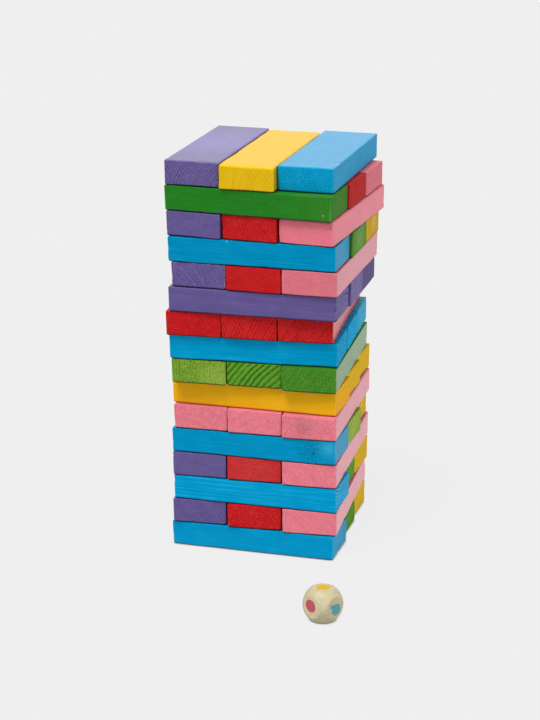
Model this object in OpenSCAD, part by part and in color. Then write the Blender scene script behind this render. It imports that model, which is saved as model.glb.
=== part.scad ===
// Block stacking tower game: layers of three painted wooden blocks, each layer crosswise
// on the one below, with a natural wood colour die on the table in front of it.
// The origin is the middle of the bottom layer's underside. X is to the right, Y is to the back.

/* [Block] */
// Length of a block, which spans the whole tower
block_length = 75; // [60:0.5:90]
// Width of a block, about a third of its length
block_width = 24.6; // [20:0.05:30]
// Thickness of a block, which is the height of a layer
block_thickness = 11.17; // [8:0.01:16]
// Radius that the edges of a block are sanded to
block_edge_radius = 0.6; // [0.4:0.1:2.5]

/* [Tower] */
// Least gap between the neighbours in a layer, so that a block slides out
side_gap = 0.25; // [0.2:0.05:1]
// Share of the uneven stacking that is kept, where 0 is a tower with straight sides
unevenness = 1; // [0:0.1:1]

/* [Die] */
// Distance between opposite faces of the die
die_size = 14; // [12:0.5:20]
// Width that the ball of its rounded corners has beyond its faces
die_corner_ball = 3; // [1:0.5:5]
// Distance from the tower's middle to the die, to the right
die_right = 51.4; // [45:0.1:120]
// Distance from the tower's middle to the die, to the front
die_front = 97.1; // [80:0.1:150]
// Turn of the die on the table
die_turn = -29; // [-45:1:45]

/* [Hidden] */
// Flats that stand for the rounding of each sanded edge
EASING_FLATS = 3;

// The tower from the bottom layer up, one row a layer: shift to the right, shift to the back,
// turn in degrees, what its side gaps have beyond the least gap, how far each of its three
// blocks lies out along its own length, and what the three are painted.
// Odd layers lie left to right and are listed from the front block to the back one,
// even layers lie front to back and are listed from the left block to the right one.
LAYOUT = [
    [0, 0, 0, 0, [2.4, 0, -1.5], ["blue", "green", "yellow"]],
    [0.7, 0.7, 4.1, 0.6, [1.4, -0.4, -2.1], ["purple", "red", "pink"]],
    [0.8, 0.2, 0.5, 0, [2.4, -1.1, -1], ["blue", "green", "yellow"]],
    [1.3, 0.9, 3.1, 0.4, [0.9, 0.1, -1.3], ["purple", "red", "pink"]],
    [1.3, 0.4, 0.3, 0, [1.5, 1.1, -2.4], ["blue", "green", "yellow"]],
    [2.1, 0.6, 2.5, 0, [1.2, 0, -1.3], ["pink", "pink", "pink"]],
    [1.3, 2.4, -0.2, 0, [1.7, 0.1, -1.8], ["yellow", "yellow", "yellow"]],
    [1.6, -1, 3.6, 0, [0.5, 0.9, -1.5], ["light green", "green", "dark green"]],
    [0.8, -0.3, 4.7, 0.3, [-0.3, 0, 0.1], ["blue", "blue", "blue"]],
    [-0.8, -2.6, 5, 0, [0.6, -0.1, 0.1], ["red", "red", "red"]],
    [3.9, -4.1, 1.8, 0.4, [-0.7, 0.1, 0.1], ["purple", "purple", "purple"]],
    [5, -4.4, 0.4, 0, [0.2, -0.5, -0.3], ["purple", "red", "pink"]],
    [5, -4.2, 0.3, 0.6, [-1, 0.4, 0], ["blue", "green", "yellow"]],
    [5.5, -4, -3.2, 0.3, [-1.7, -0.2, 1.2], ["purple", "red", "pink"]],
    [5, -5.4, -2.7, 0.1, [-0.6, 0.2, 0.4], ["green", "red", "pink"]],
    [3, -4.2, -0.5, 0.2, [0.6, -1.6, 2.7], ["purple", "yellow", "blue"]]
];
LAYERS = len(LAYOUT);

// Names of the three places in a layer whose blocks lie left to right, and front to back
LONG_PLACES = ["front", "middle", "back"];
END_PLACES = ["left", "middle", "right"];

function lies_long(layer) = layer % 2 == 1;
function shift_right(layer) = unevenness * LAYOUT[layer - 1][0];
function shift_back(layer) = unevenness * LAYOUT[layer - 1][1];
function turn(layer) = unevenness * LAYOUT[layer - 1][2];
function spacing(layer) = block_width + side_gap + unevenness * LAYOUT[layer - 1][3];
function lies_out(layer, place) = unevenness * LAYOUT[layer - 1][4][place];
function paint_name(layer, place) = LAYOUT[layer - 1][5][place];

// A name such as block_07_front or block_12_left
function block_name(layer, place) = str(
    "block_", layer < 10 ? "0" : "", layer, "_",
    lies_long(layer) ? LONG_PLACES[place] : END_PLACES[place]
);

function paint(name) =
    name == "purple" ? "#6f5f9e" :
    name == "yellow" ? "#e6bd3c" :
    name == "blue" ? "#1d93c9" :
    name == "green" ? "#3f8a2f" :
    name == "light green" ? "#7fab45" :
    name == "dark green" ? "#3f7a26" :
    name == "red" ? "#bd2430" :
    "#dd7a8c";
WOOD = "#d5c9a2";

// Outline of a block seen along one axis, with its four corners eased
module eased_outline(width, height) {
    union() {
        square([width - 2 * block_edge_radius, height], center = true);
        square([width, height - 2 * block_edge_radius], center = true);
        for (side = [-1, 1], top = [-1, 1])
            translate([
                side * (width / 2 - block_edge_radius),
                top * (height / 2 - block_edge_radius)
            ])
                circle(r = block_edge_radius, $fn = 4 * EASING_FLATS);
    }
}

// One block about its own middle, its length along X, eased along all twelve edges
module wooden_block() {
    intersection() {
        linear_extrude(block_thickness, center = true)
            eased_outline(block_length, block_width);
        rotate([90, 0, 0])
            linear_extrude(block_width, center = true)
                eased_outline(block_length, block_thickness);
        rotate([90, 0, 90])
            linear_extrude(block_length, center = true)
                eased_outline(block_width, block_thickness);
    }
}

// The block at one place of one layer, resting on the layer below
module block(layer, place) {
    across = (place - 1) * spacing(layer);
    color(paint(paint_name(layer, place)))
        translate([shift_right(layer), shift_back(layer), (layer - 0.5) * block_thickness])
            rotate([0, 0, turn(layer) + (lies_long(layer) ? 0 : 90)])
                translate([lies_out(layer, place), lies_long(layer) ? across : -across, 0])
                    wooden_block();
}

// The colour die: a cube whose corners and edges are turned down to a ball
module die() {
    color(WOOD)
        translate([die_right, -die_front, die_size / 2])
            rotate([0, 0, die_turn])
                intersection() {
                    cube(die_size, center = true);
                    sphere(d = die_size + die_corner_ball, $fn = 96);
                }
}

for (layer = [1 : LAYERS], place = [0 : 2])
    block(layer, place);
die();
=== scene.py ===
import math

import bpy
import numpy as np
from mathutils import Matrix, Vector


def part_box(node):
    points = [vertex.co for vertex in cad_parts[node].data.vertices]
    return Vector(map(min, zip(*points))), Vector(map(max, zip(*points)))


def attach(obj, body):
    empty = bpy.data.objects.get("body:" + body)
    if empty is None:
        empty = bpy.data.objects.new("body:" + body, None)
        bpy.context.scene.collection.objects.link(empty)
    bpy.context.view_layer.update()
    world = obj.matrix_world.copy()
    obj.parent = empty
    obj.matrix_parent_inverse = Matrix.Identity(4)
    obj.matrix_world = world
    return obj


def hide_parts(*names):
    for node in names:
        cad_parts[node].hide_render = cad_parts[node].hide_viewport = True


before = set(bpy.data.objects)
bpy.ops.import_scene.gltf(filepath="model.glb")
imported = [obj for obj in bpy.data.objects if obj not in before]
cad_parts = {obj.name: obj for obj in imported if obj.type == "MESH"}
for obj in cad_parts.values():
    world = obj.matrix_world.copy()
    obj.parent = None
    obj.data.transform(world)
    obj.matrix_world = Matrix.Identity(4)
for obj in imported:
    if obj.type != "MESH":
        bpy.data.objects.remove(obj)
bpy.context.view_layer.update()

# The view: a long lens a metre away, a little right of the tower's front and 18 degrees
# above the table, as the photograph was taken. The tower stands a little tilted in it.
EYE = (0.26562, -0.90079, 0.38182)
view = bpy.data.cameras.new("view")
view.sensor_fit = "VERTICAL"
view.sensor_height = 36
view.lens = 108.64
view.clip_start = 0.05
view.clip_end = 60
camera = bpy.data.objects.new("view", view)
bpy.context.collection.objects.link(camera)
to_the_right = Vector((0.959645, 0.281179, -0.004486))
to_the_top = Vector((-0.082186, 0.295681, 0.951745))
to_the_eye = to_the_right.cross(to_the_top)
camera.matrix_world = (
    Matrix.Translation(EYE)
    @ Matrix((to_the_right, to_the_top, to_the_eye)).transposed().to_4x4()
)
bpy.context.scene.camera = camera
bpy.context.scene.view_settings.view_transform = "Standard"

# The table: a roll of matt white paper, so wide that its end is never seen.
# It is seen and mirrored as an even pale grey, and keeps a twentieth of its shadows.
PAPER_SHADE = "#efefef"
PAPER_LIGHT = 1.42  # what the lamps and the room together throw on it
SHADOW_SHARE = 0.05
PAPER_REACH = 6.0


def linear(hex_colour):
    """Turns an sRGB hex value into the linear colour that a shader takes."""
    parts = [int(hex_colour[i:i + 2], 16) / 255 for i in (1, 3, 5)]
    return tuple(c / 12.92 if c <= 0.04045 else ((c + 0.055) / 1.055) ** 2.4 for c in parts) + (1.0,)


def add(tree, kind, *feeds, take=0, **options):
    """Adds one node with its options and gives back its first output, or the one to take.

    The feeds go to its sockets in order, or to the sockets that a dict names. Each is a value
    or the output that feeds the socket."""
    made = tree.nodes.new("ShaderNode" + kind)
    for option, value in options.items():
        setattr(made, option, value)
    for place, feed in enumerate(feeds):
        for socket, value in (feed if isinstance(feed, dict) else {place: feed}).items():
            if isinstance(value, bpy.types.NodeSocket):
                tree.links.new(value, made.inputs[socket])
            else:
                made.inputs[socket].default_value = value
    return made.outputs[take] if made.outputs else None


paper = bpy.data.materials.new("matt_white_paper")
paper.use_nodes = True
tree = paper.node_tree
tree.nodes.clear()
ray = add(tree, "LightPath").node.outputs
lit = add(tree, "BsdfDiffuse", linear("#c4c4c4"))
shadow_grey = SHADOW_SHARE * linear(PAPER_SHADE)[0] / PAPER_LIGHT
shaded = add(tree, "BsdfDiffuse", (shadow_grey, shadow_grey, shadow_grey, 1))
# Under the object's edges the paper darkens within a millimetre of where they touch.
touch = add(tree, "AmbientOcclusion", {"Distance": 0.0009}, take="AO", samples=8)
touch = add(tree, "Math", touch, 0.7, operation="POWER")
touch = add(tree, "Math", touch, 1 - SHADOW_SHARE, operation="MULTIPLY")
even = add(tree, "Emission", linear(PAPER_SHADE), touch)
both = add(tree, "AddShader", shaded, even)
looks = add(tree, "MixShader", ray["Is Camera Ray"], lit, both)
mirrored = add(tree, "Math", ray["Is Glossy Ray"], ray["Is Transmission Ray"], operation="MAXIMUM")
white = add(tree, "Emission", (1, 1, 1, 1), 1.0)
looks = add(tree, "MixShader", mirrored, looks, white)
add(tree, "OutputMaterial", looks)
corners = [(x * PAPER_REACH, y * PAPER_REACH, 0) for x, y in ((-1, -1), (1, -1), (1, 1), (-1, 1))]
mesh = bpy.data.meshes.new("table")
mesh.from_pydata(corners, [], [(0, 1, 2, 3)])
mesh.materials.append(paper)
table = bpy.data.objects.new("table", mesh)
bpy.context.collection.objects.link(table)

# The light: one soft lamp high up at the front left, which gives the short shadows under
# each overhang, a wide soft one at the right, and the even light of a white room.
ROOM_LIGHT = 0.45
for name, azimuth, elevation, width, strength in (
    ("high_soft_lamp", -22, 66, 26, 0.93),
    ("wide_right_lamp", 80, 30, 70, 0.3),
):
    lamp = bpy.data.lights.new(name, "SUN")
    lamp.energy = math.pi * strength
    lamp.angle = math.radians(width)
    shines = bpy.data.objects.new(name, lamp)
    bpy.context.collection.objects.link(shines)
    a, e = math.radians(azimuth), math.radians(elevation)
    towards = Vector((math.sin(a) * math.cos(e), -math.cos(a) * math.cos(e), math.sin(e)))
    shines.rotation_euler = towards.to_track_quat("Z", "Y").to_euler()
room = bpy.data.worlds.new("white_room")
room.use_nodes = True
bpy.context.scene.world = room
tree = room.node_tree
tree.nodes.clear()
ray = add(tree, "LightPath").node.outputs
seen = add(tree, "Math", ray["Is Camera Ray"], ray["Is Glossy Ray"], operation="MAXIMUM")
seen = add(tree, "Math", seen, ray["Is Transmission Ray"], operation="MAXIMUM")
soft = add(tree, "Background", (1, 1, 1, 1), ROOM_LIGHT)
pale = add(tree, "Background", (1, 1, 1, 1), 1.0)
add(tree, "OutputWorld", add(tree, "MixShader", seen, soft, pale))

# The bottom layer: three blocks left to right. Every block is a stick of beech, planed,
# sawn off, its edges eased on a sander and tumbled, then dipped in thin water paint.
# The bottom three are blue in front, green in the middle and yellow at the back.
BLOCK = np.array([75.0, 24.6, 11.17])  # length, width and thickness in mm
EDGE = 0.6  # radius that the edges are sanded to
CELL = 1.0  # width of the mesh's quads on the flats
SEAM = 0.25  # width of the last quad before an edge
EDGE_STEPS = (15, 30, 45)  # degrees round half an edge
UNEVEN_EDGE = 0.14  # how far the edges' radius strays, as a share
HOLLOW = 0.035  # about how deep the planed faces are hollow
INSET = 0.01  # how far every face lies inside its nominal size
DENTS = 7  # knocks on each block

# What a block has of its own, and here the values of an ordinary block. Places are in mm
# from its middle: X along it, Y across it and Z up. Two more have no ordinary value: the
# pith, which is where the heart of the tree was, across and up, and the roughness of the
# sawn ends, which comes with the paint.
ORDINARY = {
    "slope": 0.0,  # how the grain climbs along the block
    "rings": 1.05,  # width of a year's growth
    "figure": 0.18,  # how deep the paint is in the rings' lines, pale where below 0
    "grain": 1.0,  # how strong the fibres and pores show
    "streaks": 1.0,  # how strong the long streaks show
    "tone": 1.0,  # how bright the paint is
    "dust": 0.08,  # share of the specks that are pale
    "worn": -0.3,  # how much beech shows along the edges
    "knot": (0, 0, 0, 0),  # size and place of the knot, the smudge, the chip and the nick
    "smudge": (0, 0, 0, 0),
    "smudge_hex": "#6a4a56",
    "chip": (0, 0, 0, 0),
    "nick": (0, 0, 0, 0),
    "above": 0.5,  # radius of the edges above and of those below, to the nominal one
    "below": 1.6,
    "sides": 0.27,  # roughness of the long sides, and of the faces above and below
    "flats": 0.55,
    # The edges are paler, thin paint and partly a painted highlight; on the upper edges a value below 0
    # is painted shade over their highlight and one above 0 a painted highlight.
    "rim": 0.2,  # how pale the edges are and those above: thin paint and painted light
    "painted_light_above": -0.3,
    "painted_gap_shade": 0.93,  # how dark the edges below are, painted shade in the gap under a block
}


def soft_noise(points, grain_mm, rng, waves=14):
    """Smooth random heights from about -1 to 1 at points in mm, about grain_mm apart."""
    turns = rng.normal(size=(waves, 3))
    turns *= (2 * math.pi / grain_mm) / np.linalg.norm(turns, axis=1)[:, None]
    turns *= rng.uniform(0.6, 1.4, (waves, 1))
    starts = rng.uniform(0, 2 * math.pi, waves)
    return np.sin(points @ turns.T + starts).sum(1) / math.sqrt(waves)


def box_grid(lines):
    """Points and quads of the six sides of a box, with grid lines at given places on each axis.

    The sides lie at -1 and 1 times the last line of their axis."""
    sheets, quads, first = [], [], 0
    for axis in range(3):
        u, v = (axis + 1) % 3, (axis + 2) % 3
        for side in (-1.0, 1.0):
            a, b = np.meshgrid(lines[u], lines[v], indexing="ij")
            sheet = np.zeros((a.size, 3))
            sheet[:, u], sheet[:, v], sheet[:, axis] = a.ravel(), b.ravel(), side * lines[axis][-1]
            n = np.arange(a.size).reshape(a.shape) + first
            quad = np.stack([n[:-1, :-1], n[1:, :-1], n[1:, 1:], n[:-1, 1:]], -1).reshape(-1, 4)
            quads.append(quad if side > 0 else quad[:, ::-1])
            sheets.append(sheet)
            first += a.size
    sheets = np.concatenate(sheets)
    _, kept, same = np.unique(np.round(sheets, 5), axis=0, return_index=True, return_inverse=True)
    return sheets[kept], same.ravel()[np.concatenate(quads)]


def block_grid():
    """Corner codes and quads of a block whose edges are eased, shared by all blocks.

    A code from -1 to 1 is a place on the flat, and one from 1 to 2 is round the edge."""
    round_edge = 1 + np.tan(np.radians(EDGE_STEPS))
    lines = []
    for half in BLOCK / 2:
        flat = np.linspace(-1, 1, round(2 * (half - EDGE) / CELL) + 1)
        seams = [SEAM / half - 1, 1 - SEAM / half]
        lines.append(np.sort(np.concatenate([flat, seams, round_edge, -round_edge])))
    return box_grid(lines)


BLOCK_CODES, BLOCK_QUADS = block_grid()


def finished_mesh(name, points, quads, marks):
    """A mesh in metres from points in mm, with its named values for the material."""
    mesh = bpy.data.meshes.new(name)
    mesh.vertices.add(len(points))
    mesh.vertices.foreach_set("co", (points / 1000).ravel())
    mesh.loops.add(quads.size)
    mesh.loops.foreach_set("vertex_index", quads.ravel())
    mesh.polygons.add(len(quads))
    mesh.polygons.foreach_set("loop_start", np.arange(0, quads.size, 4))
    mesh.polygons.foreach_set("use_smooth", np.ones(len(quads), bool))
    mesh.update(calc_edges=True)
    for mark, value in marks.items():
        value = np.asarray(value, float)
        if value.ndim == 0 or value.shape == (3,):
            value = np.broadcast_to(value, (len(points),) + value.shape)
        kind, field = ("FLOAT", "value") if value.ndim == 1 else ("FLOAT_VECTOR", "vector")
        mesh.attributes.new(mark, kind, "POINT").data.foreach_set(field, value.ravel())
    return mesh


def wooden_block(name, paint, look, seed):
    """One block about its own middle, its length along X, cut from its own place in the log."""
    look = {**ORDINARY, "ends": paint["ends"], **look}
    rng = np.random.default_rng(seed)
    flat = np.clip(BLOCK_CODES, -1, 1)
    beyond = np.clip(np.abs(BLOCK_CODES) - 1, 0, 1)
    nominal = flat * (BLOCK / 2 - EDGE)
    radius = EDGE * (1 + UNEVEN_EDGE * np.clip(soft_noise(nominal, 22, rng), -1.5, 1.5))
    # The sander takes more off the edges below than off those above.
    above = (1 + flat[:, 2]) / 2
    radius = (radius * (look["above"] * above + look["below"] * (1 - above)))[:, None]
    out = np.sign(BLOCK_CODES) * beyond
    out /= np.linalg.norm(out, axis=1)[:, None]
    points = flat * (BLOCK / 2 - radius) + radius * out
    # Planing and sanding leave the faces a few hundredths of a millimetre off flat, always
    # inward, so that no block touches the next one's surface where it slides.
    points += out * (HOLLOW * np.minimum(soft_noise(nominal, 17, rng) - 1, 0) - INSET)[:, None]
    # From 0 on the flats to 1 in the middle of an edge, where 0.29 is 1 less the cosine of 45.
    eased = np.clip((1 - np.abs(out).max(1)) / 0.29, 0, 1)
    # Knocks leave small dents along the edges, and chips and nicks are a little hollow.
    for _ in range(DENTS):
        axis = rng.integers(3)
        at = rng.choice([-1.0, 1.0], 3) * BLOCK / 2
        at[axis] = rng.uniform(-1, 1) * BLOCK[axis] / 2
        near = np.exp(-((np.linalg.norm(points - at, axis=1) / rng.uniform(0.8, 1.6)) ** 2))
        points -= out * (near * rng.uniform(0.1, 0.3))[:, None]
    for size, *at in (look["chip"], look["nick"]):
        if size:
            near = np.exp(-((np.linalg.norm(points - at, axis=1) / max(size, 0.8)) ** 2))
            points -= out * (near * min(0.5 * size, 0.3))[:, None]
    log = points - np.array([rng.uniform(-900, 900), *look["pith"]])
    log[:, 2] += look["slope"] * points[:, 0]
    # Painted shade: the edges that face down darken, as the gap under each block lies in shade.
    facing_down = np.clip(-out[:, 2] * 3.5 - 0.35, 0, 1)
    mesh = finished_mesh(name, points, BLOCK_QUADS, {
        "block_mm": points,
        "log_mm": log,
        "eased": eased,
        "end_grain": np.clip((np.abs(out[:, 0]) - 0.5) / 0.4, 0, 1),
        # Paler edges, thin paint and partly a painted highlight; on the upper edges painted shade, or a
        # painted highlight.
        "edge_film_and_painted_light": eased * np.where(out[:, 2] > 0.2, look["painted_light_above"], look["rim"]),
        "planed": 1 - 0.95 * out[:, 2] ** 2,
        # Painted shade along the edges below, dark where they face down into the gap.
        "below": facing_down * np.clip(eased * 3, 0, 1) * look["painted_gap_shade"],
        "smudge_colour": linear(look["smudge_hex"])[:3],
        "matt": out ** 2 @ np.array([look["ends"], look["sides"], look["flats"]]),
        **{mark: look[mark] for mark in ("rings", "figure", "tone", "worn", "grain", "streaks", "dust")},
        **{mark: look[mark][1:] for mark in ("knot", "smudge", "chip", "nick")},
        **{mark + "_mm": look[mark][0] for mark in ("knot", "smudge", "chip", "nick")},
    })
    mesh.materials.append(paint)
    return bpy.data.objects.new(name, mesh)


def painted_beech(name, slot, full, thin, deep, gloss_tint, ends=0.6):
    """Thin satin paint on beech. The film pools in the soft wood and thins on the hard
    lines, so the grain shows through as lighter and deeper paint; the eased edges are paler,
    thin paint with a painted highlight, the upper edges carry painted shade over their
    highlight, on the top layer a painted highlight, and those below painted shade. Planed
    faces shine a little at a low angle and the porous sawn ends stay matt."""
    material = bpy.data.materials.new(name)
    material["slot"] = slot
    material["ends"] = ends
    material.use_nodes = True
    tree = material.node_tree
    tree.nodes.clear()
    mark = {m: add(tree, "Attribute", take="Fac", attribute_name=m) for m in (
        "eased", "end_grain", "rings", "figure", "tone", "worn", "grain", "streaks", "dust",
        "matt", "edge_film_and_painted_light", "below", "planed", "knot_mm", "smudge_mm", "chip_mm", "nick_mm")}
    # This point's place in the log, which the grain follows, and its place on the block.
    log = add(tree, "Attribute", take="Vector", attribute_name="log_mm")
    here = add(tree, "Attribute", take="Vector", attribute_name="block_mm")

    # The soft patterns, each with the size of its grains in mm along, across and up, its
    # finer steps and how rough these are. Beech fibres are 0.02 mm wide and its pores 0.06.
    # Both are drawn 0.42 mm wide, and a streak of many fibres 0.45 mm, so that they show.
    pattern = {}
    for title, where, sizes_mm, detail, roughness in (
        ("bend", log, (60, 14, 14), 2, 0.5),
        ("broken", log, (40, 2.4, 2.4), 2, 0.6),
        ("fibre", log, (20, 0.42, 0.42), 3, 0.6),
        ("pores", log, (20, 0.42, 0.42), 2, 0.7),
        ("streak", log, (40, 0.45, 0.45), 3, 0.6),
        ("blotch", log, (9, 5, 5), 3, 0.5),
        ("crack", here, (2.6, 1.4, 1.4), 3, 0.7),
        ("crumb", here, (0.6, 0.6, 0.6), 1, 0.5),
        ("rub", here, (1.8, 2.2, 1.1), 3, 0.6),
        ("wear", log, (3.2, 1.4, 1.4), 4, 0.6),
        ("ragged", log, (0.7, 0.7, 0.7), 2, 0.5),
    ):
        stretched = add(tree, "VectorMath", where, tuple(1 / s for s in sizes_mm), operation="MULTIPLY")
        pattern[title] = add(tree, "TexNoise", {
            "Vector": stretched, "Scale": 1.0, "Detail": detail, "Roughness": roughness})

    # How far this point is from the block's knot, smudge, chip and nick, and how near it is
    # to the first two, from 1 at their middle.
    away, near = {}, {}
    for place in ("knot", "smudge", "chip", "nick"):
        at = add(tree, "Attribute", take="Vector", attribute_name=place)
        away[place] = add(tree, "VectorMath", here, at, take="Value", operation="DISTANCE")
    for place in ("knot", "smudge"):
        reach = add(tree, "Math", mark[place + "_mm"], 0.01, operation="MAXIMUM")
        share = add(tree, "Math", away[place], reach, operation="DIVIDE")
        square = add(tree, "Math", share, share, operation="MULTIPLY")
        fall = add(tree, "Math", square, -1.0, operation="MULTIPLY")
        near[place] = add(tree, "Math", fall, operation="EXPONENT")

    # Growth rings: bands of hard late wood round the pith, bent a little by the tree,
    # and turned aside where a knot was.
    across = add(tree, "VectorMath", log, (0, 1, 1), operation="MULTIPLY")
    from_pith = add(tree, "VectorMath", across, take="Value", operation="LENGTH")
    aside = add(tree, "Math", near["knot"], 2.0, from_pith, operation="MULTIPLY_ADD")
    bent = add(tree, "Math", pattern["bend"], 2.6, aside, operation="MULTIPLY_ADD")
    year = add(tree, "Math", bent, mark["rings"], operation="DIVIDE")
    turn = add(tree, "Math", year, 2 * math.pi, operation="MULTIPLY")
    wave = add(tree, "Math", turn, operation="COSINE")
    wave = add(tree, "Math", wave, 0.5, 0.5, operation="MULTIPLY_ADD")
    line = add(tree, "Math", wave, 2.2, operation="POWER")
    whole_year = add(tree, "Math", year, operation="ROUND")
    uneven = add(tree, "TexWhiteNoise", {"W": whole_year}, take="Value", noise_dimensions="1D")
    uneven = add(tree, "Math", uneven, 0.8, 0.3, operation="MULTIPLY_ADD")
    broken = add(tree, "Math", pattern["broken"], 2.0, operation="MULTIPLY")
    ring = add(tree, "Math", line, uneven, operation="MULTIPLY")
    ring = add(tree, "Math", ring, broken, operation="MULTIPLY")

    # How thick the film lies, from 0, deep, to 1, thin: each pattern less its middle, times
    # how strong it shows and where. The rings show most on the sawn ends, where the paint
    # also sinks in pore by pore, and fibres and streaks run along the planed sides.
    long_grain = add(tree, "Math", 1.0, mark["end_grain"], operation="SUBTRACT")
    sides = add(tree, "Math", long_grain, mark["planed"], operation="MULTIPLY")
    ring_side = add(tree, "Math", mark["end_grain"], 1.05, 0.15, operation="MULTIPLY_ADD")
    # The film starts from the edges' paleness: thin paint with painted highlight and shade.
    film = add(tree, "Math", mark["edge_film_and_painted_light"], 0.5, operation="ADD")
    for shape, middle, strength, shown in (
        (ring, 0.3, -1.0, (mark["figure"], ring_side)),
        (pattern["fibre"], 0.5, 0.24, (sides, mark["grain"])),
        (pattern["pores"], 0.5, 1.5, (mark["end_grain"], mark["grain"])),
        (pattern["streak"], 0.5, 0.25, (sides, mark["streaks"])),
        (pattern["blotch"], 0.5, 0.25, ()),
    ):
        part = add(tree, "Math", shape, middle, operation="SUBTRACT")
        for factor in (strength, *shown):
            part = add(tree, "Math", part, factor, operation="MULTIPLY")
        film = add(tree, "Math", film, part, operation="ADD")
    colour = add(tree, "ValToRGB", film)
    stops = colour.node.color_ramp.elements
    stops[0].position, stops[0].color = 0.0, linear(deep)
    stops[1].position, stops[1].color = 1.0, linear(thin)
    stops.new(0.5).color = linear(full)

    # Pores and dust under the film: pale and dark specks 0.4 mm wide in cells of 2.1 mm,
    # more of them on some blocks.
    cells = add(tree, "VectorMath", log, (1 / 2.1,) * 3, operation="MULTIPLY")
    speck = add(tree, "TexVoronoi", {"Vector": cells, "Scale": 1.0, "Randomness": 1.0}).node.outputs
    draw = add(tree, "SeparateXYZ", speck["Color"])
    spot = add(tree, "Math", 0.1, speck["Distance"], operation="SUBTRACT")
    spot = add(tree, "Math", spot, 22.0, operation="MULTIPLY", use_clamp=True)
    is_pale = add(tree, "Math", draw, mark["dust"], operation="LESS_THAN")
    is_dark = add(tree, "Math", draw, 0.9, operation="GREATER_THAN")
    pale_spot = add(tree, "Math", spot, is_pale, operation="MULTIPLY")
    dark_spot = add(tree, "Math", spot, is_dark, operation="MULTIPLY")

    # A knot shows as ragged cracks across the grain and as dark specks round it.
    crack = add(tree, "Math", pattern["crack"], 0.5, operation="SUBTRACT")
    crack = add(tree, "Math", crack, operation="ABSOLUTE")
    crack = add(tree, "Math", crack, 20.0, operation="MULTIPLY")
    crack = add(tree, "Math", 1.0, crack, operation="SUBTRACT", use_clamp=True)
    crack = add(tree, "Math", crack, 1.3, 0.3, operation="MULTIPLY_ADD", use_clamp=True)
    crumb = add(tree, "Math", pattern["crumb"], 5.0, -2.3, operation="MULTIPLY_ADD", use_clamp=True)
    knot = add(tree, "Math", crumb, crack, operation="MULTIPLY")
    knot = add(tree, "Math", knot, near["knot"], operation="MULTIPLY")

    # A patch of another tone: a smudge that was rubbed on, or thinner or other paint.
    smudge = add(tree, "Math", near["smudge"], pattern["rub"], operation="MULTIPLY")
    smudge_colour = add(tree, "Attribute", take="Color", attribute_name="smudge_colour")

    # Where an edge was rubbed before the paint dried, beech shows through.
    bare = add(tree, "Math", pattern["wear"], 2.4, -2.05, operation="MULTIPLY_ADD")
    bare = add(tree, "Math", mark["eased"], 0.75, bare, operation="MULTIPLY_ADD")
    bare = add(tree, "Math", bare, mark["worn"], operation="ADD")
    bare = add(tree, "Math", bare, 5.0, operation="MULTIPLY", use_clamp=True)
    on_edge = add(tree, "Math", mark["eased"], 1.4, operation="MULTIPLY", use_clamp=True)
    bare = add(tree, "Math", bare, on_edge, operation="MULTIPLY")

    # One pale chip and one dark nick with ragged rims, where this block has them.
    gone = {}
    for place in ("chip", "nick"):
        has_one = add(tree, "Math", mark[place + "_mm"], 0.01, operation="GREATER_THAN")
        rim = add(tree, "Math", mark[place + "_mm"], 0.25, operation="ADD")
        off = add(tree, "Math", pattern["ragged"], 0.5, away[place], operation="MULTIPLY_ADD")
        inside = add(tree, "Math", rim, off, operation="SUBTRACT")
        inside = add(tree, "Math", inside, 7.0, operation="MULTIPLY", use_clamp=True)
        gone[place] = add(tree, "Math", inside, has_one, operation="MULTIPLY")

    # All that lies over the film, from below: where, how far it covers, and its colour.
    # The last but two is painted shade on the edges that rest on the layer below, in the gap.
    for where, cover, over in (
        (pale_spot, 0.7, linear(thin)),
        (pale_spot, 0.1, linear("#e8e2da")),
        (dark_spot, 0.35, linear("#20181c")),
        (knot, 0.95, linear("#14202c")),
        (smudge, 0.55, smudge_colour),
        (bare, 0.75, linear("#cfa67e")),
        (mark["below"], 1.0, linear("#17131a")),
        (gone["chip"], 0.8, linear("#ddd0bd")),
        (gone["nick"], 0.8, linear("#2a1d1c")),
    ):
        amount = add(tree, "Math", where, cover, operation="MULTIPLY")
        colour = add(tree, "Mix", {0: amount, 6: colour, 7: over}, take=2, data_type="RGBA")
    colour = add(tree, "VectorMath", {0: colour, "Scale": mark["tone"]}, operation="SCALE")

    # The fibres vary the gloss of the sides, and the pores roughen the sawn ends.
    matt = add(tree, "Math", pattern["fibre"], 0.5, operation="SUBTRACT")
    matt = add(tree, "Math", matt, sides, operation="MULTIPLY")
    matt = add(tree, "Math", matt, mark["streaks"], operation="MULTIPLY")
    matt = add(tree, "Math", matt, 0.07, mark["matt"], operation="MULTIPLY_ADD")
    sunk = add(tree, "Math", mark["figure"], -0.6, operation="MULTIPLY")
    relief = add(tree, "Math", ring, sunk, pattern["pores"], operation="MULTIPLY_ADD")
    rough = add(tree, "Math", mark["end_grain"], 0.24, 0.03, operation="MULTIPLY_ADD")
    bump = add(tree, "Bump", {"Strength": rough, "Distance": 0.00012, "Height": relief})
    add(tree, "OutputMaterial", add(tree, "BsdfPrincipled", {
        "Base Color": colour, "Roughness": matt, "IOR": 1.5, "Specular Tint": linear(gloss_tint),
        "Normal": bump,
    }))
    return material


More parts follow.
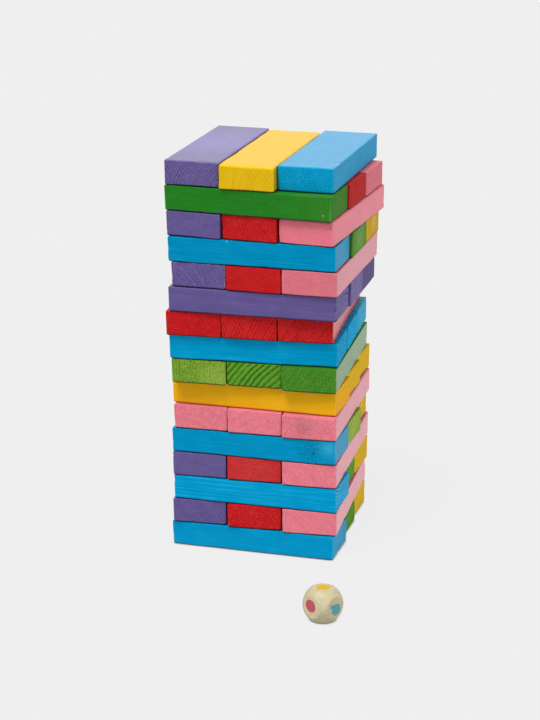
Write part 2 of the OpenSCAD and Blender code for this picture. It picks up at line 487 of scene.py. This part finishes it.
def lay(layer, *blocks):
    """Puts the blocks of one layer where the CAD's stand, listed from the left or the front."""
    for number, (place, paint, look) in enumerate(blocks):
        node = f"block_{layer:02d}_{place}"
        lo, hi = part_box(node)
        corners = np.array([v.co[:2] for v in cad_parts[node].data.vertices])
        # The block's long way, from how its CAD solid spreads, and made to point right or back.
        length = np.linalg.eigh(np.cov(corners.T))[1][:, 1]
        length = length * np.sign(length[np.argmax(np.abs(length))])
        # A block that gives no pith of its own has one drawn at random.
        seed = layer * 3 + number
        rng = np.random.default_rng(1000 + seed)
        across, up = look.get("pith", (rng.uniform(-30, 30), rng.choice([-1, 1]) * rng.uniform(15, 45)))
        # A crosswise block's Y points left, and its pith is given to the right.
        look = {**look, "pith": (across if layer % 2 else -across, up)}
        block = wooden_block("painted_" + node, paint, look, seed)
        x, y = float(length[0]), float(length[1])
        block.matrix_world = Matrix.Translation((Vector(lo) + Vector(hi)) / 2) @ Matrix((
            (x, -y, 0, 0), (y, x, 0, 0), (0, 0, 1, 0), (0, 0, 0, 1)))
        bpy.context.collection.objects.link(block)
        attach(block, node)
        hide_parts(node)


# Each paint has its full colour, that of a thin film, that of a deep one and its gloss, and
# the roughness that it leaves on the sawn ends.
blue = painted_beech(
    "blue_satin_on_beech", "blue_paint", "#008cbc", "#2cb2dc", "#006794", "#00c8ff", ends=0.5)
leaf_green = painted_beech(
    "leaf_green_satin_on_beech", "green_paint", "#3f7618", "#6ea438", "#235410", "#a0ff50", ends=0.85)
yellow = painted_beech(
    "yellow_satin_on_beech", "yellow_paint", "#d8ae10", "#ecc440", "#b98a08", "#ffd020", ends=0.85)
lay(1,
    ("front", blue, {
        "pith": (30, -45), "rings": 1.0, "figure": 0.6, "ends": 0.6, "nick": (0.35, 13.0, -12.3, 0.0)}),
    ("middle", leaf_green, {
        "pith": (18, -36), "rings": 1.5, "figure": 0.35, "grain": 1.5, "tone": 1.18}),
    ("back", yellow, {
        "pith": (18, -36), "rings": 1.5, "figure": 0.25, "grain": 1.5, "tone": 1.14}))

# The second layer: three beech blocks laid crosswise on the first, their sawn ends to the
# front: purple with soft curved rings, a mottled red, and pink with fine faint rings.
# Nothing but the weight above holds a layer in its place.
purple = painted_beech(
    "purple_satin_on_beech", "purple_paint", "#5b4d83", "#7d6fa6", "#423566", "#b4b0ff", ends=0.5)
red = painted_beech(
    "red_satin_on_beech", "red_paint", "#b8161b", "#d0423c", "#860c11", "#ff3a3a", ends=0.8)
pink = painted_beech(
    "pink_satin_on_beech", "pink_paint", "#dc7180", "#eb9aa2", "#c25464", "#ffb4c0")
lay(2,
    ("left", purple, {
        "pith": (-32, -28), "rings": 1.15, "figure": -0.3, "nick": (0.45, -37.4, 3.2, -4.6)}),
    ("middle", red, {"pith": (-30, 30), "figure": 0.12, "grain": 1.2, "tone": 1.03}),
    ("right", pink, {
        "pith": (-30, -30), "rings": 0.95, "figure": 0.38, "grain": 0.6, "streaks": 0.2}))

# The third layer: three beech blocks laid left to right again. The year's rings lie level
# in the blue one and run along its side as lines, among long streaks of the paint.
lay(3,
    ("front", blue, {
        "pith": (6, 40), "rings": 1.6, "figure": 0.9, "grain": 1.5, "streaks": 3.0, "tone": 1.1,
        "ends": 0.65}),
    ("middle", leaf_green, {
        "pith": (18, -36), "rings": 1.6, "figure": 0.5, "grain": 1.5, "tone": 1.3}),
    ("back", yellow, {"figure": 0.35, "grain": 1.4}))

# The fourth layer: three beech blocks, crosswise. The rings of the purple end fall to the
# right, and the thin red paint took unevenly, which leaves the middle end speckled.
lay(4,
    ("left", purple, {"pith": (-25, -45), "rings": 1.2, "figure": 0.15}),
    ("middle", red, {
        "pith": (20, 30), "figure": 0.1, "grain": 2.8, "tone": 1.05, "dust": 0.5,
        "smudge": (20, -37.5, 0.0, 0.0), "smudge_hex": "#c24c4c"}),
    ("right", pink, {"pith": (-30, -30), "figure": 0.2, "grain": 0.9, "streaks": 0.2}))

# The fifth layer: three beech blocks, left to right. The blue one was cut where a branch
# grew, which left a patch of dark cracks near its right end, and bold dark rings show on the
# sawn ends of the green and the yellow one.
lay(5,
    ("front", blue, {
        "pith": (12, -22), "rings": 1.3, "figure": 0.15, "tone": 0.94,
        "knot": (6.2, 26.5, -12.3, 0.2), "nick": (0.5, 28.9, -12.3, -4.2),
        "smudge": (3.6, 34.4, -12.3, 2.4), "smudge_hex": "#5ad0f0"}),
    ("middle", leaf_green, {
        "pith": (22, -32), "rings": 2.2, "figure": 1.7, "grain": 1.4, "tone": 1.37,
        "smudge": (14, 37.5, 0.0, 0.0), "smudge_hex": "#c8a860"}),
    ("back", yellow, {
        "pith": (22, -32), "rings": 2.2, "figure": 1.7, "grain": 1.4, "tone": 0.94}))

# The sixth layer: three beech blocks, crosswise, all dipped in the pink paint. Handling
# nicked the end of the middle one and left a dark smudge on that of the right one.
lay(6,
    ("left", pink, {"pith": (-20, -45), "rings": 0.95, "figure": 0.24, "tone": 0.97}),
    ("middle", pink, {
        "pith": (24, -45), "rings": 1.0, "figure": 0.32, "nick": (0.3, -37.4, -6.3, 1.6)}),
    ("right", pink, {
        "pith": (28, -24), "rings": 0.9, "figure": 0.35, "streaks": 0.2, "tone": 0.96,
        "above": 1.6, "smudge": (4.5, -37.5, 2.3, 0.8)}))

# The seventh layer: three beech blocks, left to right, all yellow. The front one was dipped
# in a warmer batch of the paint, and its side is the smoothest of the tower.
amber = painted_beech(
    "amber_satin_on_beech", "yellow_paint", "#e6aa18", "#f2bf3c", "#c98a0c", "#ffd020", ends=0.85)
# Its front block has less painted shade along the edges below.
lay(7,
    ("front", amber, {"figure": 0.05, "streaks": 0.4, "painted_gap_shade": 0.4}),
    ("middle", yellow, {"figure": 0.1}),
    ("back", yellow, {"figure": 0.1}))

# The eighth layer: three beech blocks, crosswise, in three greens. The yellowish one took
# the paint pore by pore, the next has bold dark rings, and the darker one has fine rings.
light_green = painted_beech(
    "light_green_satin_on_beech", "light_green_paint", "#669424", "#b6cc52", "#3f7014", "#c0f060")
dark_green = painted_beech(
    "dark_green_satin_on_beech", "dark_green_paint", "#387818", "#6aa440", "#1f540c", "#80ff60")
lay(8,
    ("left", light_green, {
        "pith": (60, 4), "rings": 1.3, "figure": 0.25, "grain": 1.3, "tone": 0.82,
        "smudge": (6, -37.5, -7.0, -2.5), "smudge_hex": "#c8d870"}),
    ("middle", leaf_green, {"pith": (50, -44), "rings": 2.2, "figure": 0.8}),
    ("right", dark_green, {
        "pith": (40, -34), "rings": 0.9, "figure": 0.35, "tone": 0.87, "grain": 2.0}))

# The ninth layer: three beech blocks, left to right, all blue. Fine lines run along the
# front one, which has lost a speck of its paint near the lower edge.
lay(9,
    ("front", blue, {
        "pith": (10, 20), "figure": 0.35, "grain": 2.2, "streaks": 1.4, "tone": 1.05, "ends": 0.9,
        "chip": (0.2, 2.7, -12.3, -3.7)}),
    ("middle", blue, {"figure": 0.5, "grain": 1.6, "tone": 1.16, "ends": 0.9}),
    ("back", blue, {
        "figure": 0.5, "grain": 1.6, "tone": 1.18, "ends": 0.8,
        "smudge": (14, 37.5, 0.0, 0.0), "smudge_hex": "#70a088"}))

# The tenth layer: three beech blocks, crosswise, all red. They were sawn far from the heart
# of the tree, so that the rings lie almost straight across their ends.
lay(10,
    ("left", red, {"pith": (0, -50), "figure": 0.1, "grain": 0.8}),
    ("middle", red, {"pith": (58, -28), "rings": 1.3, "figure": 0.35, "grain": 0.8, "tone": 0.97}),
    ("right", red, {
        "pith": (50, -34), "rings": 1.1, "figure": 0.3, "grain": 0.9, "streaks": 0.3}))

# The eleventh layer: three beech blocks, left to right, all purple. The front one was sawn
# a little askew of the grain and near the heart, which gives its side soft flames.
lay(11,
    ("front", purple, {
        "pith": (4, -9), "slope": 0.06, "rings": 2.6, "figure": 0.6, "streaks": 0.5, "dust": 0.3,
        "ends": 0.68, "chip": (0.15, -22.7, -12.3, 0.6), "nick": (0.5, 37.0, -12.2, -0.2)}),
    ("middle", purple, {
        "pith": (20, -34), "figure": 0.4, "tone": 1.06, "grain": 1.4, "ends": 0.6}),
    ("back", purple, {
        "pith": (20, -34), "figure": 0.5, "tone": 0.76, "grain": 1.6, "ends": 0.8}))

# The twelfth layer: three beech blocks, crosswise, in purple, red and pink. The purple one
# was rubbed before its paint dried, so that bare beech shows along its edges.
lay(12,
    ("left", purple, {
        "pith": (-30, -24), "rings": 2.1, "figure": -0.15, "grain": 1.2, "worn": 0.45}),
    ("middle", red, {"pith": (24, -30), "figure": 0.12}),
    ("right", pink, {
        "pith": (20, -40), "figure": 0.12, "grain": 0.8, "streaks": 0.3, "worn": 0.1, "tone": 0.88}))

# The thirteenth layer: three beech blocks, left to right, in blue, green and yellow. The
# blue one is chipped and nicked at its upper edge, and the paint is thin and pale in places
# on the sawn ends of the other two.
lay(13,
    ("front", blue, {
        "pith": (24, -30), "figure": 0.35, "grain": 1.2, "tone": 0.88,
        "chip": (0.4, -10.6, -12.3, 5.2), "nick": (0.3, -3.2, -12.3, 5.5)}),
    ("middle", leaf_green, {
        "pith": (20, -34), "figure": 0.3, "grain": 2.0, "tone": 0.94,
        "smudge": (9, 37.5, 0.0, 0.0), "smudge_hex": "#a8c088"}),
    ("back", yellow, {
        "pith": (20, -34), "figure": 0.3, "grain": 1.6, "tone": 0.8,
        "smudge": (3.5, 37.5, 2.0, 1.0), "smudge_hex": "#f2ead0"}))

# The fourteenth layer: three beech blocks, crosswise, in purple, red and pink. The pink one
# is rounder along its upper edges, smooth on its end, and nicked near its right edge.
lay(14,
    ("left", purple, {"pith": (-10, 40), "figure": 0.12}),
    ("middle", red, {"figure": 0.12}),
    ("right", pink, {
        "pith": (10, 40), "figure": 0.08, "grain": 0.55, "streaks": 0.4, "tone": 1.03, "sides": 0.4,
        "above": 1.6, "nick": (0.3, -37.4, -10.8, 2.7)}))

# The fifteenth layer: three beech blocks, left to right: green, its pores full of pale dust
# that shows as specks, and behind it red and pink.
green = painted_beech(
    "green_satin_on_beech", "green_paint", "#206e1e", "#4a9638", "#155014", "#60ff50", ends=0.85)
# The green one's edges are painted paler, thin paint and a painted highlight.
lay(15,
    ("front", green, {
        "pith": (10, 40), "figure": 0.05, "streaks": 0.5, "dust": 0.5, "rim": 0.9,
        "chip": (0.3, 34.2, -12.3, -2.5), "smudge": (12, 37.5, 0.0, 0.0), "smudge_hex": "#6a7a38"}),
    ("middle", red, {"figure": 0.2, "grain": 1.3, "tone": 0.9}),
    ("back", pink, {"figure": 0.2, "grain": 1.5, "tone": 0.9, "ends": 0.85}))

# The top layer: three beech blocks laid crosswise in purple, yellow and blue. They lie loose
# with nothing on them, and their upper faces are the smoothest and shine the most.
# Their upper edges are painted paler, a painted highlight.
lay(16,
    ("left", purple, {
        "pith": (26, -15), "rings": 1.15, "figure": 0.6, "grain": 1.6, "tone": 0.88, "flats": 0.22,
        "above": 1.2, "painted_light_above": 0.15, "nick": (0.3, -35.5, -11.5, 5.5),
        "smudge": (24, 2.0, 0.0, 6.0), "smudge_hex": "#8484e0"}),
    ("middle", yellow, {
        "pith": (21, -7), "rings": 1.5, "figure": 0.16, "grain": 0.5, "flats": 0.38,
        "above": 2.2, "painted_light_above": 0.25}),
    ("right", blue, {
        "pith": (-30, -26), "rings": 1.0, "figure": 0.12, "grain": 1.4, "streaks": 3.0,
        "sides": 0.6, "flats": 0.27, "above": 1.0, "painted_light_above": 0.1,
        "chip": (0.7, -27.4, -11.4, 5.6)}))

# The die: a cube of bare pale maple tumbled to a ball at its edges and corners, with a
# round spot of thick paint brushed on each of its six faces. It lies loose on the table.
DIE_SIZE = 14.0  # between two faces, in mm
DIE_BALL = 17.0  # the ball that its corners lie on
DIE_TURN = -29.0  # how it lies on the table, in degrees
DIE_QUADS = 72  # along each way of a face
UNEVEN_BALL = 0.04  # how far the ball strays from round
ROUNDED_RIM = 0.12  # how softly a flat meets the ball
RIM_GAIN = 0.02  # what the soft rim takes off beside it, given back
BALL_GAIN = 0.05  # how far that may lift the ball
PAINTED_LIGHT_RIM = 0.3  # how far the ball lies outside a flat where its painted light is full
BALL_TONE = 0.95  # how bright the ball is
FLAT_PAINTED_LIGHT = np.array([-0.01, 0.2, 0.05])  # painted light on the flats across X, Y and Z

steps = np.tan(np.radians(np.linspace(-45, 45, DIE_QUADS + 1)))
ways, die_quads = box_grid([steps, steps, steps])
ways /= np.linalg.norm(ways, axis=1)[:, None]
flat_at = DIE_SIZE / 2 / np.abs(ways).max(1)
ball_at = DIE_BALL / 2 + UNEVEN_BALL * soft_noise(ways * DIE_BALL / 2, 6, np.random.default_rng(5))
reach = -ROUNDED_RIM * np.log(np.exp(-flat_at / ROUNDED_RIM) + np.exp(-ball_at / ROUNDED_RIM))
reach = np.minimum(reach + RIM_GAIN, np.minimum(flat_at, ball_at + BALL_GAIN))
points = ways * reach[:, None]
# Painted light on the flats: the two across Y, one of which faces the lamp at the left, the
# brightest, the two across Z a little brighter than the ball, and the two across X as dull as it.
flat = np.clip((ball_at - flat_at) / PAINTED_LIGHT_RIM, 0, 1)
wood_tone_and_painted_light = BALL_TONE + flat * FLAT_PAINTED_LIGHT[np.abs(ways).argmax(1)]

# Bare sanded maple: straight fine grain along Y with soft clouds, and no gloss beside a
# dull sheen. Its vessels are 0.07 mm wide and drawn 0.7 mm wide so that they show.
maple = bpy.data.materials.new("bare_maple_with_painted_spots")
maple.use_nodes = True
tree = maple.node_tree
tree.nodes.clear()
here = add(tree, "Attribute", take="Vector", attribute_name="die_mm")
pattern = {}
for title, sizes_mm, detail in (
    ("grain", (0.7, 14, 0.7), 3.0),
    ("cloud", (4, 7, 4), 2.0),
    ("fuzz", (1.3, 1.3, 1.3), 2.0),
):
    stretched = add(tree, "VectorMath", here, tuple(1 / s for s in sizes_mm), operation="MULTIPLY")
    pattern[title] = add(tree, "TexNoise", {"Vector": stretched, "Scale": 1.0, "Detail": detail})
pale = add(tree, "Math", pattern["grain"], 0.5, operation="SUBTRACT")
cloud = add(tree, "Math", pattern["cloud"], 0.5, 0.25, operation="MULTIPLY_ADD")
pale = add(tree, "Math", pale, 0.7, cloud, operation="MULTIPLY_ADD")
colour = add(tree, "ValToRGB", pale)
colour.node.color_ramp.elements[0].color = linear("#9f9368")
colour.node.color_ramp.elements[1].color = linear("#d2c8a8")
# The wood's tone, with the painted light of the flats.
tone = add(tree, "Attribute", take="Fac", attribute_name="wood_tone_and_painted_light")
colour = add(tree, "VectorMath", {0: colour, "Scale": tone}, operation="SCALE")
# The spots, each with its middle and radius in mm: yellow above, red in front and blue at
# the right, where the brush left a second small touch, and three that aren't seen.
for middle, radius, hex_colour in (
    ((-0.5, 0.5, 7), 3.0, "#c2a01a"),
    ((-0.4, -7, 0.85), 2.95, "#b44256"),
    ((7, 0.6, -0.8), 2.65, "#45919b"),
    ((7, -2.0, 1.0), 0.95, "#45919b"),
    ((0, 0, -7), 3.0, "#5c4e88"),
    ((0, 7, 0), 3.0, "#437c30"),
    ((-7, 0, 0), 3.0, "#ab272b"),
):
    fuzz = add(tree, "Math", pattern["fuzz"], 0.5, operation="SUBTRACT")
    away = add(tree, "VectorMath", here, middle, take="Value", operation="DISTANCE")
    away = add(tree, "Math", fuzz, 0.7, away, operation="MULTIPLY_ADD")
    inside = add(tree, "Math", radius, away, operation="SUBTRACT")
    inside = add(tree, "Math", inside, 5.0, operation="MULTIPLY", use_clamp=True)
    colour = add(tree, "Mix", {0: inside, 6: colour, 7: linear(hex_colour)}, take=2, data_type="RGBA")
bump = add(tree, "Bump", {"Strength": 0.3, "Distance": 0.0001, "Height": pattern["grain"]})
add(tree, "OutputMaterial", add(tree, "BsdfPrincipled", {
    "Base Color": colour, "Roughness": 0.55, "IOR": 1.5, "Normal": bump,
}))

mesh = finished_mesh("turned_die", points, die_quads, {"die_mm": points, "wood_tone_and_painted_light": wood_tone_and_painted_light})
mesh.materials.append(maple)
die = bpy.data.objects.new("turned_die", mesh)
lo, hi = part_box("die")
on_table = Matrix.Translation((Vector(lo) + Vector(hi)) / 2)
die.matrix_world = on_table @ Matrix.Rotation(math.radians(DIE_TURN), 4, "Z")
bpy.context.collection.objects.link(die)
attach(die, "die")
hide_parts("die")
